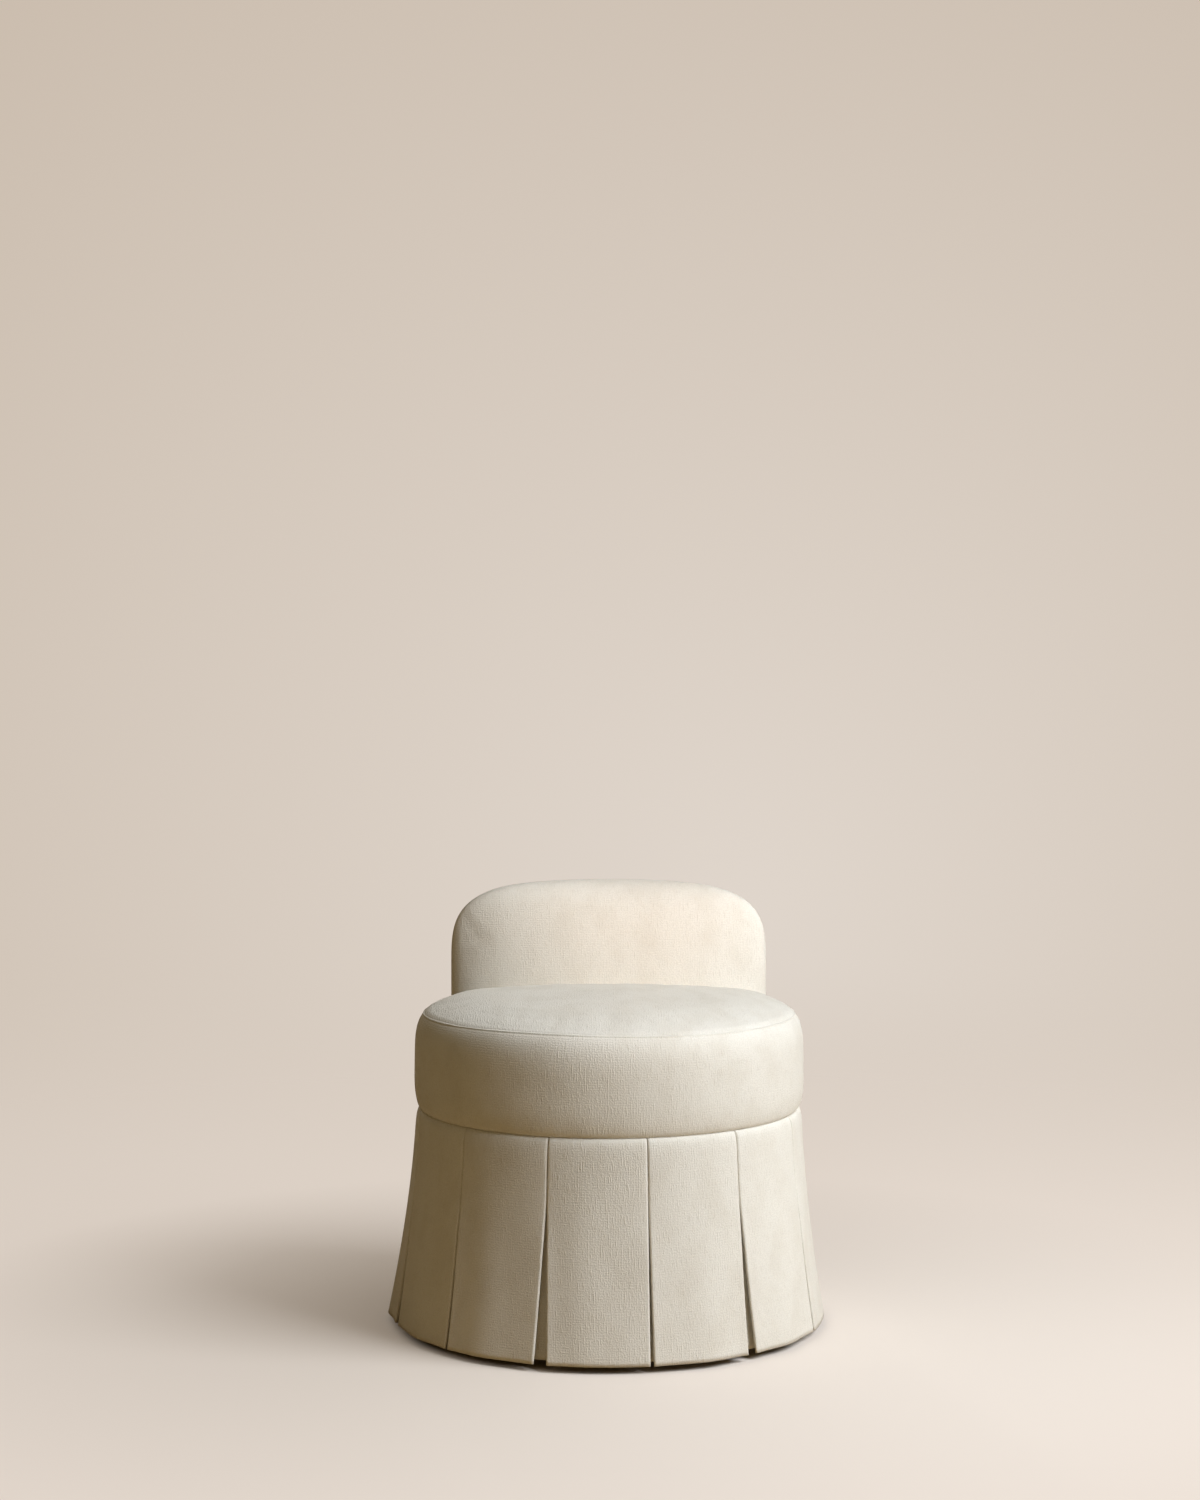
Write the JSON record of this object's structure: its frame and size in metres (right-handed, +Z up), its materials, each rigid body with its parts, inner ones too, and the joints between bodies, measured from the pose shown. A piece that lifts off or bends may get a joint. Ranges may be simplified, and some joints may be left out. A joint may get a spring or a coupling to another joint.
{
  "type": "skirted swivel stool",
  "caption": "Round upholstered swivel stool with a boxed cushion seat, a low half-moon back and a box-pleated skirt to the floor.",
  "frame": {"origin": "on the floor, on the swivel axis", "axes": "+Z up, front towards -Y, low back at +Y, +X to the right of someone facing the front"},
  "size_m": [0.5776, 0.5776, 0.575],
  "materials": {
    "linen": "off-white slubby plain-weave linen",
    "foam": "cut upholstery foam",
    "wadding": "polyester wadding",
    "black_plywood": "black-stained plywood, satin",
    "plywood": "birch plywood, unfinished",
    "hardwood": "planed hardwood, unfinished",
    "tack_card": "grey-brown tack strip card",
    "zinc_steel": "zinc-plated pressed steel",
    "bearing_steel": "polished bearing steel",
    "nylon": "black moulded nylon"
  },
  "bodies": {
    "base": {"plinth": "black_plywood", "floor_glides": "nylon", "glide_nails": "zinc_steel", "plinth_bolts": "zinc_steel", "swivel_lower_plate": "zinc_steel", "pivot_rivet": "zinc_steel"},
    "bearing": {"bearing_balls": "bearing_steel", "ball_cage": "nylon"},
    "upper": {"skirt_panel_01": "linen", "skirt_panel_02": "linen", "skirt_panel_03": "linen", "skirt_panel_04": "linen", "skirt_panel_05": "linen", "skirt_panel_06": "linen", "skirt_panel_07": "linen", "skirt_panel_08": "linen", "skirt_panel_09": "linen", "skirt_panel_10": "linen", "skirt_panel_11": "linen", "skirt_panel_12": "linen", "pleat_underlay_01": "linen", "pleat_underlay_02": "linen", "pleat_underlay_03": "linen", "pleat_underlay_04": "linen", "pleat_underlay_05": "linen", "pleat_underlay_06": "linen", "pleat_underlay_07": "linen", "pleat_underlay_08": "linen", "pleat_underlay_09": "linen", "pleat_underlay_10": "linen", "pleat_underlay_11": "linen", "pleat_underlay_12": "linen", "seat_top_cover": "linen", "seat_boxing": "linen", "back_cover": "linen", "seat_foam": "foam", "back_foam": "foam", "seat_wadding": "wadding", "drum_floor": "plywood", "seat_deck": "plywood", "back_board": "plywood", "drum_post_01": "hardwood", "drum_post_02": "hardwood", "drum_post_03": "hardwood", "drum_post_04": "hardwood", "drum_post_05": "hardwood", "drum_post_06": "hardwood", "skirt_tack_strip": "tack_card", "swivel_upper_plate": "zinc_steel", "back_brackets": "zinc_steel", "pivot_washer": "zinc_steel", "upper_plate_bolts": "zinc_steel", "upper_plate_tee_nuts": "zinc_steel", "post_screws_lower": "zinc_steel", "post_screws_upper": "zinc_steel", "back_bracket_bolts": "zinc_steel", "back_bracket_tee_nuts": "zinc_steel", "back_bracket_screws": "zinc_steel", "pivot_bush": "nylon"}
  },
  "joints": [
    {"name": "seat_swivel", "type": "hinge", "parent": "base", "child": "upper", "pos_m": [0, 0, 0.039], "axis": [0, 0, 1], "continuous": true},
    {"name": "cage_turn", "type": "hinge", "parent": "base", "child": "bearing", "pos_m": [0, 0, 0.036], "axis": [0, 0, 1], "continuous": true}
  ],
  "couplings": [
    {"joint": "cage_turn", "follows": "seat_swivel", "ratio": 0.5}
  ]
}
